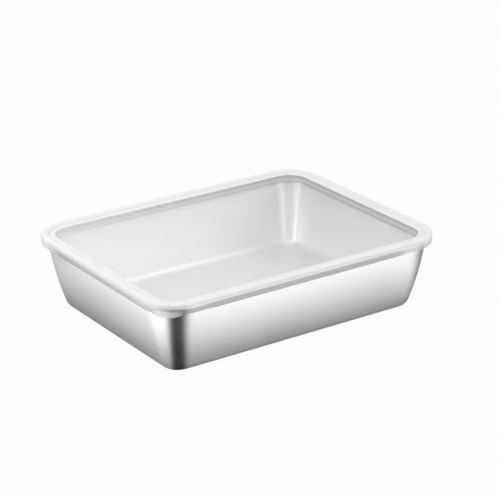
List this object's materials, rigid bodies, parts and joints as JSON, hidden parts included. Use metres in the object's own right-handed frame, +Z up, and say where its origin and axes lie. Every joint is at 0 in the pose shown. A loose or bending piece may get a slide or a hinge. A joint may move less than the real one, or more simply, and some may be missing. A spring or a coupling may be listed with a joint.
{
  "type": "instrument tray",
  "caption": "Shallow rectangular steel pan with flared walls, rounded corners and a rolled rim, under a translucent press-fit lid with a recessed panel.",
  "frame": {"origin": "middle of the pan's flat underside, on the surface the tray stands on", "axes": "+Z up, +X along the long side, +Y along the short side"},
  "size_m": [0.26, 0.2, 0.062],
  "materials": {
    "satin_steel": "satin stainless sheet",
    "lid_plastic": "translucent milky polyethylene, soft gloss"
  },
  "bodies": {
    "pan": {"steel_pan": "satin_steel"},
    "lid": {"lid": "lid_plastic"}
  },
  "joints": [
    {"name": "lid_lift", "type": "slide", "parent": "pan", "child": "lid", "axis": [0, 0, 1], "range_m": [0, 0.08]}
  ]
}
